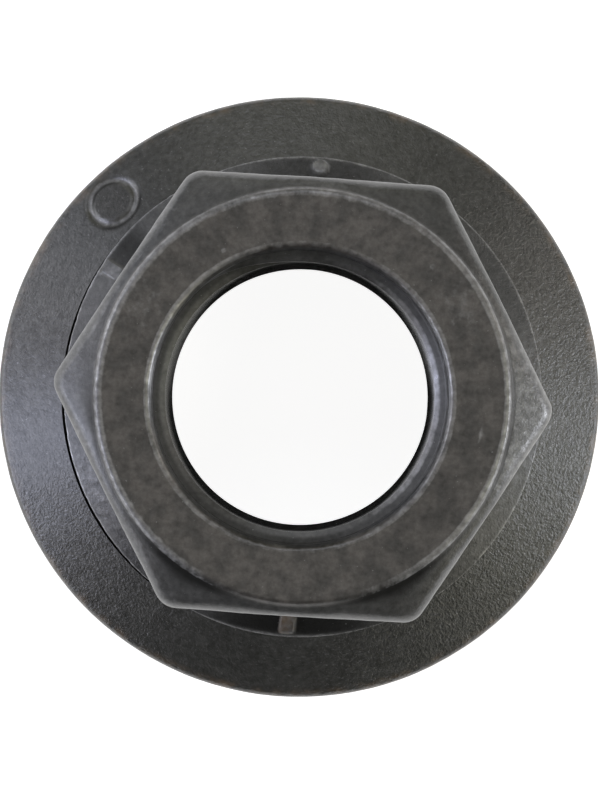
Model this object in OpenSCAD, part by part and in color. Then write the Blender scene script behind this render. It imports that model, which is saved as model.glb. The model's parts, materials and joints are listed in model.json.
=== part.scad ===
// Two-piece wheel nut: a forged hexagon nut with a conical flange, and the loose pressure washer
// that turns on it. A collar at the nut's foot is flared under the washer and holds it captive.
// Millimetres. The washer's clamping face lies on z = 0, and the thread's axis is the Z axis.

/* [Thread] */
// Nominal diameter of the thread
thread_d = 22; // [18:0.5:25]
// Distance from one turn of the thread to the next
thread_pitch = 1.5; // [1:0.25:2.5]
// How far the countersink at the top reaches past the thread, on the radius
countersink_margin = 0.5; // [0.2:0.1:1.5]
// Slope of the countersink's wall, in degrees
countersink_slope = 45; // [30:1:70]

/* [Hexagon] */
// Distance across the flats
across_flats = 32.8; // [30:0.1:38]
// Height of the nut's top face over the clamping face
overall_h = 27; // [20:0.5:40]
// How far the round top face stays inside the flats
top_inset = 0.85; // [0.3:0.05:1.5]
// Height of the step around the top face
top_step = 0.5; // [0.1:0.05:1]
// Slope of the cone that trims the hexagon's top corners, in degrees
corner_slope = 30; // [15:1:40]

/* [Flange] */
// How far the flange reaches past the hexagon's corners
flange_margin = 0.12; // [0.1:0.02:2]
// Slope of the flange's upper face, in degrees
flange_slope = 30; // [10:1:40]
// Thickness of the flange at its rim
flange_edge = 1.4; // [1:0.1:3]
// Radius on the edges of the flange's rim, and in the recess around it
rim_round = 0.2; // [0.1:0.05:0.45]

/* [Collar] */
// Room between the thread's crests and the collar's bore, on the radius
collar_relief = 0.3; // [0.1:0.1:1]
// Wall of the collar
collar_wall = 1.7; // [1:0.1:2.5]
// Straight stretch of the collar's bore, from its flare up to the thread's lead-in
collar_bore_h = 0.9; // [0.3:0.1:2]
// Height of the flared lip over the clamping face
lip_lift = 0.5; // [0.2:0.1:1]
// Radius on the lip's outer edge
lip_round = 0.25; // [0.1:0.05:0.4]

/* [Washer] */
// Width of the washer's sloping top, outside the recess
washer_land = 4.75; // [4:0.05:7]
// Slope of the washer's top, in degrees
washer_slope = 30; // [15:1:35]
// Slope of the cone that the flange bears on, in degrees
seat_slope = 15; // [8:1:25]
// Length of the washer's straight bore
washer_bore_h = 1.3; // [0.8:0.1:4]
// Depth of the countersink under the washer, which takes the flared lip
washer_countersink = 2.3; // [1.8:0.1:4]
// How far the washer's inner edge stands above the rim of the flange
recess_proud = 0; // [0:0.05:0.5]
// Radius on the washer's outer edges
washer_round = 0.7; // [0.2:0.1:1.2]
// Radius on the edge of the recess
recess_round = 0.15; // [0.05:0.05:0.3]

/* [Fit] */
// Room between the flange's rim and the recess, on the radius
rim_gap = 0.2; // [0.15:0.05:0.6]
// Room between the collar and the washer's bore, on the radius
bore_gap = 0.3; // [0.2:0.05:0.6]
// Room between the flange and its seat, along the axis
seat_gap = 0.15; // [0.1:0.05:0.4]
// Room between the flared lip and the washer's countersink, along the axis
lip_gap = 0.35; // [0.2:0.05:0.6]
// Radius in the corner under the flange, and on the washer's edge that faces it
seat_round = 0.3; // [0.1:0.05:0.5]

/* [Forged marks] */
// Height of the raised marks
mark_h = 0.25; // [0.1:0.05:0.5]
// Diameter of the dot on the flange
dot_d = 1.45; // [0.8:0.05:2]
// Distance from the dot's centre to the flange's rim, on the radius
dot_inset = 0.85; // [0.6:0.05:1.4]
// Width of the bars on the flange
bar_w = 1.2; // [0.6:0.1:2]
// Distance from a bar's end to the flange's rim, on the radius
bar_inset = 0.3; // [0.1:0.05:1]
// Outer diameter of the ring on the washer
ring_d = 4.3; // [2:0.1:5]
// Width of the ring's line
ring_w = 0.45; // [0.2:0.05:1]
// Where the ring stands around the washer, in degrees from +X
ring_angle = 137; // [0:1:359]

/* [Hidden] */

$fn = 128;
hexagon_sides = 6;
// Segments in each rounded corner of a section
arc_steps = 4;
// How far a cutting shape runs past what it cuts
cut_over = 1;

// Radii, from the axis outwards
thread_r = thread_d / 2;
minor_r = thread_r - 5 / 16 * sqrt(3) * thread_pitch;
countersink_r = thread_r + countersink_margin;
collar_bore_r = thread_r + collar_relief;
neck_r = collar_bore_r + collar_wall;
washer_bore_r = neck_r + bore_gap;
flat_r = across_flats / 2;
top_r = flat_r - top_inset;
corner_r = flat_r / cos(180 / hexagon_sides);
flange_r = corner_r + flange_margin;
recess_r = flange_r + rim_gap;
washer_r = recess_r + washer_land;
// The flange's cone runs on inside the hexagon, as far as the middle of the nut's wall
core_r = (thread_r + flat_r) / 2;

// Heights, from the clamping face upwards
flare_z = washer_countersink + bore_gap - lip_gap;
lip_r = neck_r + flare_z - lip_lift;
lip_bore_r = lip_r - collar_wall;
lead_in_z = flare_z + collar_bore_h;
flange_z = under_flange_z(flange_r) + flange_edge;
hexagon_z = flange_z - flange_edge / 2;
recess_z = flange_z + recess_proud;
washer_rim_z = washer_top_z(washer_r);

// Marks around the flange, in degrees from +Y
dot_angle = 0;
bar_angles = [60, 180];
ring_r = (recess_r + washer_r) / 2;

// Height of the washer's seat at radius r
function seat_z(r) = washer_countersink + washer_bore_h + (r - washer_bore_r) * tan(seat_slope);

// Height of the flange's lower face at radius r
function under_flange_z(r) = seat_z(r) + seat_gap;

// Height of the flange's upper face at radius r
function flange_top_z(r) = flange_z + (flange_r - r) * tan(flange_slope);

// Height of the washer's sloping top at radius r
function washer_top_z(r) = recess_z - (r - recess_r) * tan(washer_slope);

// Height of the cone that trims the hexagon's corners at radius r
function corner_trim_z(r) = overall_h - top_step - (r - top_r) * tan(corner_slope);

// Vector v at length 1
function unit(v) = v / norm(v);

// Points of the arc of radius r that rounds corner b, between its neighbours a and c
function arc_corner(a, b, c, r) =
    let (
        u = unit(a - b),
        v = unit(c - b),
        half = acos(u * v) / 2,
        centre = b + unit(u + v) * r / sin(half),
        first = b + u * r / tan(half) - centre,
        last = b + v * r / tan(half) - centre,
        start = atan2(first.y, first.x),
        turn = sign(cross(first, last)) * acos(unit(first) * unit(last))
    )
    [
        for (i = [0 : arc_steps])
            let (angle = start + turn * i / arc_steps)
            centre + r * [cos(angle), sin(angle)]
    ];

// Closed outline through corners given as [radius, height, fillet radius]
function outline(corners) =
    let (
        count = len(corners),
        points = [for (p = corners) [p[0], p[1]]]
    )
    [
        for (i = [0 : count - 1])
            let (
                before = points[(i + count - 1) % count],
                after = points[(i + 1) % count],
                fillet = corners[i][2]
            )
            each fillet == 0
                ? [points[i]]
                : arc_corner(before, points[i], after, fillet)
    ];

// Solid turned from a section of [radius, height, fillet radius] corners
module turned(corners) {
    rotate_extrude()
        polygon(outline(corners));
}

// Hexagon with its top corners trimmed by a cone, under a low round step
module hexagon() {
    trim_r = corner_r + cut_over;
    intersection() {
        translate([0, 0, hexagon_z])
            cylinder(r = corner_r, h = overall_h - hexagon_z + cut_over, $fn = hexagon_sides);
        turned([
            [0, hexagon_z - cut_over, 0],
            [trim_r, hexagon_z - cut_over, 0],
            [trim_r, corner_trim_z(trim_r), 0],
            [top_r, corner_trim_z(top_r), 0],
            [top_r, overall_h, 0],
            [0, overall_h, 0],
        ]);
    }
}

// Flange, neck and flared collar, before the bore is cut
module flange_and_collar() {
    turned([
        [0, lip_lift, 0],
        [lip_r, lip_lift, lip_round],
        [neck_r, flare_z, 0],
        [neck_r, under_flange_z(neck_r), seat_round],
        [flange_r, under_flange_z(flange_r), rim_round],
        [flange_r, flange_z, rim_round],
        [core_r, flange_top_z(core_r), 0],
        [0, flange_top_z(core_r), 0],
    ]);
}

// Tool that cuts the flared collar, the lead-in, the thread's minor diameter and the countersink
module bore() {
    lead_in_h = collar_bore_r - minor_r;
    countersink_h = (countersink_r - minor_r) * tan(countersink_slope);
    turned([
        [0, lip_lift - cut_over, 0],
        [lip_bore_r + cut_over, lip_lift - cut_over, 0],
        [collar_bore_r, flare_z, 0],
        [collar_bore_r, lead_in_z, 0],
        [minor_r, lead_in_z + lead_in_h, 0],
        [minor_r, overall_h - countersink_h, 0],
        [countersink_r + cut_over / tan(countersink_slope), overall_h + cut_over, 0],
        [0, overall_h + cut_over, 0],
    ]);
}

// Places children on the flange's upper face at radius r, square to the face
module on_flange(angle, r) {
    rotate(angle)
        translate([0, r, flange_top_z(r)])
            rotate([-flange_slope, 0, 0])
                children();
}

// Raised dot and bars on the flange, sunk as deep as they stand out
module flange_marks() {
    // A bar starts inside the hexagon's flat
    bar_from = flat_r - bar_inset;
    bar_to = flange_r - bar_inset;
    bar_length = (bar_to - bar_from) / cos(flange_slope);
    on_flange(dot_angle, flange_r - dot_inset)
        cylinder(d = dot_d, h = 2 * mark_h, center = true);
    for (angle = bar_angles)
        on_flange(angle, (bar_from + bar_to) / 2)
            cube([bar_w, bar_length, 2 * mark_h], center = true);
}

// Raised ring in the middle of the washer's sloping top
module washer_ring() {
    rotate(ring_angle)
        translate([ring_r, 0, washer_top_z(ring_r)])
            rotate([0, washer_slope, 0])
                difference() {
                    cylinder(d = ring_d, h = 2 * mark_h, center = true);
                    cylinder(d = ring_d - 2 * ring_w, h = 2 * mark_h + cut_over, center = true);
                }
}

module nut() {
    color([0.29, 0.275, 0.26])
        difference() {
            union() {
                hexagon();
                flange_and_collar();
                flange_marks();
            }
            bore();
        }
}

module washer() {
    color([0.36, 0.36, 0.37])
        union() {
            turned([
                [washer_bore_r + washer_countersink, 0, 0],
                [washer_r, 0, washer_round],
                [washer_r, washer_rim_z, washer_round],
                [recess_r, recess_z, recess_round],
                [recess_r, seat_z(recess_r), rim_round],
                [washer_bore_r, seat_z(washer_bore_r), seat_round],
                [washer_bore_r, washer_countersink, 0],
            ]);
            washer_ring();
        }
}

nut();
washer();
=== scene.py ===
"""Dressed wheel nut: a forged hexagon nut, and the rough pressure washer that turns on it.

Both meshes are turned sections, worked out in millimetres about the thread's axis and stored in metres.
"""

from __future__ import annotations

import json
import logging
import math
from dataclasses import dataclass, field
from enum import Enum

import bmesh
import bpy
import numpy as np
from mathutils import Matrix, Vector, noise

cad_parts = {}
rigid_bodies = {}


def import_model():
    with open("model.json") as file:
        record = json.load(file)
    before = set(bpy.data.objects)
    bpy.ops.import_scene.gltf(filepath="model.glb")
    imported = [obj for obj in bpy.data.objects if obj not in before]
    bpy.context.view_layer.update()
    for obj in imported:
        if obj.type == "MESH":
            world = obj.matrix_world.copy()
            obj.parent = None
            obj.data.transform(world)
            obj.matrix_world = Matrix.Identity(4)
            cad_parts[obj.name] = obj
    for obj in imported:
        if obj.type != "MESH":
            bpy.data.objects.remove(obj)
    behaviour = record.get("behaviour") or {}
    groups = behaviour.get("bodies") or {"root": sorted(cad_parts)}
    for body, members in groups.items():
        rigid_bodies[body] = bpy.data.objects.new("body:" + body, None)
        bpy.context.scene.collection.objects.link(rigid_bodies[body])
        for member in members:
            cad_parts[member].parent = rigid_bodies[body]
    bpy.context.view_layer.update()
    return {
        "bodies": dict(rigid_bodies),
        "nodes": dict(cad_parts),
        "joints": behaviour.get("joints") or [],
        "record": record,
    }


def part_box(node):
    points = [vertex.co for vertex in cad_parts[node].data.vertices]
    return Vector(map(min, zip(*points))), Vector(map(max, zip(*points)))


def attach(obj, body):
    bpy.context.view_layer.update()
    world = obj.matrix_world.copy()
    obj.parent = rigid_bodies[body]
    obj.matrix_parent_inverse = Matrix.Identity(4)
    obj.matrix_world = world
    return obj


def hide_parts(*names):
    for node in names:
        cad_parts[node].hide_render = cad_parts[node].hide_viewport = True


LOG = logging.getLogger("wheel_nut")
MM = 0.001
FULL_TURN = 2 * math.pi
HEXAGON_SIDES = 6
SECTOR = FULL_TURN / HEXAGON_SIDES
# Steps per column in which a sweep's columns are worked out
FINE_STEPS = 8
# Shift from one layer of lumps to the next, so that they aren't alike, in millimetres
LAYER_SHIFT = 40
# Places closer to a sloping face than this lie on it, in millimetres
ON_FACE = 0.2
# Places closer to the top than this lie on the top face, in millimetres
AT_TOP = 0.05
# Least length that a vector is divided by
TINY = 1e-12
NOISE_MIDDLE = 0.5

Value = float | np.ndarray
Colour = tuple[float, float, float, float]
Layers = tuple[tuple[float, float], ...]


class Spacing(Enum):
    """How the rows of a straight run are spaced."""

    EVEN = "even"
    TIGHT_ENDS = "tight_ends"

    def shares(self, segments: int) -> np.ndarray:
        """Places of the rows inside a run.

        Args:
            segments: How many segments the run is cut into.

        Returns:
            The inner rows' places, as shares of the run's length.
        """
        steps = np.arange(1, segments) / segments
        if self is Spacing.EVEN:
            return steps
        return 0.5 - 0.5 * np.cos(np.pi * steps)


class Wear(Enum):
    """Names of the vertex attributes that the finishes read."""

    # Rubbed bare metal, and painted highlights: more of it on the lit sides, on the flange facing the left
    # lamps, on a corner and on the thread's lit crests
    RUB = "rub"
    # Dirt, and painted shade: darkening in corners, in the groove round the top face, at the hexagon's foot,
    # on the flange's shaded side, down the bore and beside the washer's ring
    GRIME = "grime"
    CROWN = "crown"
    RUST = "rust"
    SMOOTH = "smooth"


@dataclass
class Corner:
    """One corner of a turned section, in millimetres, with the straight run that follows it.

    Attributes:
        r: Radius, one for all columns or one for each.
        z: Height, one for all columns or one for each.
        fillet: Radius of the rounded corner, limited by the runs beside it.
        share: Share of the shorter of those runs that the rounded corner may take up.
        arc: Segments round the corner.
        run: Segments of the run that follows.
        spacing: How the rows of that run are spaced.
        drift: How far the corner stands off the axis, in the piece's off-centre direction.
        lump: Height of the unevenness at the corner.
        wear: How strongly the corner shows each kind of wear.
        reach: How far that wear fades out beside the corner.
    """

    r: Value
    z: Value
    fillet: float = 0.0
    share: float = 0.48
    arc: int = 4
    run: int = 4
    spacing: Spacing = Spacing.TIGHT_ENDS
    drift: float = 0.0
    lump: float = 0.0
    wear: dict[Wear, float] = field(default_factory=dict)
    reach: float = 0.28


@dataclass
class Crowd:
    """A place round the axis where columns stand closer together.

    Attributes:
        angle: Middle of the place, in radians.
        width: Half-width of the place, in radians.
        gain: How many more columns it gets.
    """

    angle: float
    width: float
    gain: float


def angle_apart(angles: np.ndarray, middle: float) -> np.ndarray:
    """Signed angle from a direction.

    Args:
        angles: Angles in radians.
        middle: The direction to measure from.

    Returns:
        The difference, from minus half a turn to half a turn.
    """
    return (angles - middle + math.pi) % FULL_TURN - math.pi


def smooth_step(low: float, high: float, values: np.ndarray) -> np.ndarray:
    """Soft step from 0 at low to 1 at high.

    Args:
        low: Value at which the step starts.
        high: Value at which it ends.
        values: Where it is wanted.

    Returns:
        The step's height at each value.
    """
    share = np.clip((values - low) / (high - low), 0, 1)
    return share * share * (3 - 2 * share)


def at_least(low: float, share: np.ndarray) -> np.ndarray:
    """Moves a share of 0 to 1 into the range from low to 1."""
    return low + (1 - low) * share


def crowded_columns(count: int, crowds: list[Crowd]) -> np.ndarray:
    """Angles of a sweep's columns.

    Args:
        count: How many columns go round.
        crowds: Where they stand closer together.

    Returns:
        Angles in radians, from 0 up to a full turn.
    """
    fine = np.linspace(0, FULL_TURN, FINE_STEPS * count + 1)
    density = np.ones_like(fine)
    for crowd in crowds:
        density += crowd.gain * np.exp(-((angle_apart(fine, crowd.angle) / crowd.width) ** 2))
    steps = 0.5 * (density[1:] + density[:-1])
    total = np.concatenate([[0], np.cumsum(steps)])
    return np.interp(np.arange(count) / count * total[-1], total, fine)


def lumps(points: np.ndarray, size: float) -> np.ndarray:
    """Smooth random heights.

    Args:
        points: Places in millimetres, one row each.
        size: Size of the lumps in millimetres.

    Returns:
        A height for each place, from about -1 to 1.
    """
    return np.array([noise.noise(Vector(p)) for p in points / size])


def layered_lumps(points: np.ndarray, layers: Layers) -> np.ndarray:
    """Smooth random heights of several sizes.

    Args:
        points: Places in millimetres, one row each.
        layers: Size of each layer's lumps in millimetres, and its weight.

    Returns:
        A height for each place.
    """
    heights = np.zeros(len(points))
    for number, (size, weight) in enumerate(layers):
        heights += weight * lumps(points + number * LAYER_SHIFT, size)
    return heights


@dataclass(frozen=True)
class Side:
    """A stretch round the axis that is level in its middle and soft at its ends.

    Attributes:
        angle: Its middle, in degrees from +X.
        width: Its half-width in degrees.
        strength: Its strength in the middle.
        power: How steeply it ends, as an even power.
    """

    angle: float
    width: float
    strength: float
    power: int = 4

    def share(self, angles: np.ndarray) -> np.ndarray:
        """Strength of the stretch at each angle."""
        away = angle_apart(angles, math.radians(self.angle)) / math.radians(self.width)
        return self.strength * np.exp(-(away**self.power))


@dataclass(frozen=True)
class Facing:
    """How far directions face one way.

    Attributes:
        angle: That way, in degrees from +X.
        low: Cosine of the angle to it at which directions start to count.
        high: Cosine of the angle at which they count fully.
        strength: The full count.
    """

    angle: float
    low: float
    high: float
    strength: float = 1.0

    def share(self, angles: np.ndarray) -> np.ndarray:
        """Count of each direction."""
        return self.strength * smooth_step(self.low, self.high, np.cos(angles - math.radians(self.angle)))


@dataclass(frozen=True)
class Aside:
    """How far directions lie to the left or the right.

    Attributes:
        low: Cosine of the angle to the nearer side at which directions start to count.
        high: Cosine of the angle at which they count fully.
    """

    low: float
    high: float

    def share(self, angles: np.ndarray) -> np.ndarray:
        """Count of each direction, from 0 to 1."""
        return smooth_step(self.low, self.high, np.abs(np.cos(angles)))


@dataclass
class Sweep:
    """A section's rows at each column, before they are placed round the axis.

    Attributes:
        r: Radii, rows by columns.
        z: Heights, rows by columns.
        drift: How far each row stands off the axis.
        lump: Height of the unevenness for each row.
        wear: Each kind of wear for each row.
    """

    r: np.ndarray
    z: np.ndarray
    drift: np.ndarray
    lump: np.ndarray
    wear: dict[Wear, np.ndarray]

    def placed(self, angles: np.ndarray, off_angle: float) -> np.ndarray:
        """Places the rows round the axis.

        Args:
            angles: The columns' angles.
            off_angle: Direction in which off-centre rows are moved.

        Returns:
            Points, rows by columns by 3.
        """
        drift = self.drift[:, None]
        x = self.r * np.cos(angles) + drift * math.cos(off_angle)
        y = self.r * np.sin(angles) + drift * math.sin(off_angle)
        return np.stack([x, y, self.z], axis=2)

    def wide_wear(self) -> dict[Wear, np.ndarray]:
        """Each kind of wear, rows by columns."""
        wide = np.ones(self.r.shape[1])
        return {kind: values[:, None] * wide for kind, values in self.wear.items()}


class Section:
    """A turned section with rounded corners, cut into the same rows at every column."""

    def __init__(self, corners: list[Corner], columns: int, closed: bool) -> None:
        """Keeps the corners.

        Args:
            corners: The section's corners in order.
            columns: How many columns the sweep has.
            closed: Whether the last corner runs on to the first.
        """
        self.corners = corners
        self.closed = closed
        self.points = np.array(
            [
                np.stack(
                    [np.broadcast_to(c.r, columns), np.broadcast_to(c.z, columns)], axis=1
                )
                for c in corners
            ]
        )

    def arc_points(self, index: int) -> np.ndarray:
        """Points round one corner.

        Args:
            index: The corner's place in the list.

        Returns:
            The arc's points, steps by columns by 2; the bare corner where it has no fillet.
        """
        corner = self.corners[index]
        at = self.points[index]
        ends = index in (0, len(self.corners) - 1) and not self.closed
        if corner.fillet == 0 or ends:
            return at[None]
        back = self.points[index - 1] - at
        ahead = self.points[(index + 1) % len(self.corners)] - at
        back_length = np.linalg.norm(back, axis=1)
        ahead_length = np.linalg.norm(ahead, axis=1)
        back /= back_length[:, None]
        ahead /= ahead_length[:, None]
        half = 0.5 * np.arccos(np.clip((back * ahead).sum(axis=1), -1, 1))
        room = corner.share * np.minimum(back_length, ahead_length)
        reach = np.minimum(corner.fillet / np.tan(half), room)
        radius = reach * np.tan(half)
        inward = back + ahead
        inward /= np.linalg.norm(inward, axis=1)[:, None]
        centre = at + inward * (radius / np.sin(half))[:, None]
        first = at + back * reach[:, None] - centre
        last = at + ahead * reach[:, None] - centre
        cross = first[:, 0] * last[:, 1] - first[:, 1] * last[:, 0]
        turn = np.arctan2(cross, (first * last).sum(axis=1))
        rows = []
        for step in np.arange(corner.arc + 1) / corner.arc:
            c, s = np.cos(turn * step), np.sin(turn * step)
            x = first[:, 0] * c - first[:, 1] * s
            y = first[:, 0] * s + first[:, 1] * c
            rows.append(centre + np.stack([x, y], axis=1))
        return np.array(rows)

    def sweep(self) -> Sweep:
        """Cuts the section into rows.

        Returns:
            The rows, with what each one takes from its corners.
        """
        arcs = [self.arc_points(i) for i in range(len(self.corners))]
        count = len(self.corners)
        runs = count if self.closed else count - 1
        rows, drift, lump, spans = [], [], [], []
        for i, corner in enumerate(self.corners):
            spans.append((len(rows), len(rows) + len(arcs[i]) - 1))
            rows.extend(arcs[i])
            drift.extend([corner.drift] * len(arcs[i]))
            lump.extend([corner.lump] * len(arcs[i]))
            if i >= runs:
                continue
            after = self.corners[(i + 1) % count]
            start, end = arcs[i][-1], arcs[(i + 1) % count][0]
            for share in corner.spacing.shares(corner.run):
                rows.append(start + (end - start) * share)
                drift.append(corner.drift + (after.drift - corner.drift) * share)
                lump.append(corner.lump + (after.lump - corner.lump) * share)
        table = np.array(rows)
        steps = np.linalg.norm(np.diff(table, axis=0), axis=2).mean(axis=1)
        along = np.concatenate([[0], np.cumsum(steps)])
        wear = {kind: self._fade(kind, spans, along) for kind in Wear}
        return Sweep(table[:, :, 0], table[:, :, 1], np.array(drift), np.array(lump), wear)

    def _fade(self, kind: Wear, spans: list[tuple[int, int]], along: np.ndarray) -> np.ndarray:
        """One kind of wear for each row.

        Args:
            kind: The kind of wear.
            spans: First and last row of each corner.
            along: Distance of each row along the section.

        Returns:
            Full wear on the corners' own rows, fading out beside them.
        """
        result = np.zeros_like(along)
        for corner, (first, last) in zip(self.corners, spans):
            strength = corner.wear.get(kind, 0.0)
            away = np.maximum(along[first] - along, along - along[last])
            fade = np.exp(-((np.maximum(away, 0) / corner.reach) ** 2))
            result = np.maximum(result, strength * fade)
        return result


class Shell:
    """A closed mesh that is gathered ring by ring, in millimetres."""

    # Vertices closer than this are one vertex, in millimetres
    WELD = 1e-5

    def __init__(self) -> None:
        """Starts with no vertices and no faces."""
        self.points: list[np.ndarray] = []
        self.wear: list[dict[Wear, np.ndarray]] = []
        self.faces: list[tuple[int, ...]] = []
        self.count = 0

    def add(self, points: np.ndarray, wear: dict[Wear, np.ndarray]) -> np.ndarray:
        """Adds a grid of vertices.

        Args:
            points: Places, rows by columns by 3.
            wear: Each kind of wear, rows by columns.

        Returns:
            The vertices' numbers, rows by columns.
        """
        rows, columns = points.shape[:2]
        numbers = self.count + np.arange(rows * columns).reshape(rows, columns)
        self.points.append(points.reshape(-1, 3))
        self.wear.append({k: v.reshape(-1) for k, v in wear.items()})
        self.count += rows * columns
        return numbers

    def quads(self, a: np.ndarray, b: np.ndarray, c: np.ndarray, d: np.ndarray) -> None:
        """Adds one face for each four numbers in the same place."""
        table = np.stack([a.ravel(), b.ravel(), c.ravel(), d.ravel()], axis=1)
        self.faces.extend(map(tuple, table.tolist()))

    def skin(self, numbers: np.ndarray, closed: bool) -> None:
        """Joins each row of a grid to the next, right round.

        Args:
            numbers: Vertices' numbers, rows by columns.
            closed: Whether the last row joins the first.
        """
        low = numbers if closed else numbers[:-1]
        high = np.roll(numbers, -1, axis=0) if closed else numbers[1:]
        self.quads(low, np.roll(low, -1, axis=1), np.roll(high, -1, axis=1), high)

    def join_half(self, coarse: np.ndarray, fine: np.ndarray) -> None:
        """Joins a ring to one with twice as many vertices.

        Args:
            coarse: Numbers of the ring with fewer vertices.
            fine: Numbers of the other ring.
        """
        after = np.roll(coarse, -1)
        table = np.stack([coarse, after, np.roll(fine[::2], -1), fine[1::2], fine[::2]], axis=1)
        self.faces.extend(map(tuple, table.tolist()))

    def to_object(self, name: str, crease: float) -> bpy.types.Object:
        """Welds the vertices and makes the mesh object.

        Args:
            name: The object's name.
            crease: Edges that turn by more than this many degrees stay sharp.

        Returns:
            The new object, with its wear as vertex attributes.
        """
        points = np.concatenate(self.points)
        keys = np.round(points / self.WELD).astype(np.int64)
        _, first, number = np.unique(keys, axis=0, return_index=True, return_inverse=True)
        number = number.reshape(-1).tolist()
        faces = []
        for face in self.faces:
            kept = list(dict.fromkeys(number[v] for v in face))
            if len(kept) > 2:
                faces.append(kept)
        mesh = bpy.data.meshes.new(name)
        mesh.from_pydata((points[first] * MM).tolist(), [], faces)
        for kind in Wear:
            values = np.concatenate([w[kind] for w in self.wear])[first]
            attribute = mesh.attributes.new(kind.value, "FLOAT", "POINT")
            attribute.data.foreach_set("value", values.astype(np.float32))
        self._face_outwards(mesh)
        mesh.polygons.foreach_set("use_smooth", [True] * len(mesh.polygons))
        mesh.set_sharp_from_angle(angle=math.radians(crease))
        made = bpy.data.objects.new(name, mesh)
        bpy.context.scene.collection.objects.link(made)
        return made

    @staticmethod
    def _face_outwards(mesh: bpy.types.Mesh) -> None:
        """Turns all faces of a closed mesh outwards."""
        work = bmesh.new()
        work.from_mesh(mesh)
        bmesh.ops.recalc_face_normals(work, faces=work.faces)
        work.to_mesh(mesh)
        work.free()


def grid_normals(points: np.ndarray, closed: bool) -> np.ndarray:
    """Unit normals of a swept grid.

    Args:
        points: Places, rows by columns by 3.
        closed: Whether the last row joins the first.

    Returns:
        Normals that point to the left of the section's direction of travel.
    """
    round_axis = np.roll(points, -1, axis=1) - np.roll(points, 1, axis=1)
    if closed:
        along = np.roll(points, -1, axis=0) - np.roll(points, 1, axis=0)
    else:
        along = np.gradient(points, axis=0)
    normals = np.cross(along, round_axis)
    return normals / np.maximum(np.linalg.norm(normals, axis=2), TINY)[:, :, None]


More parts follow.
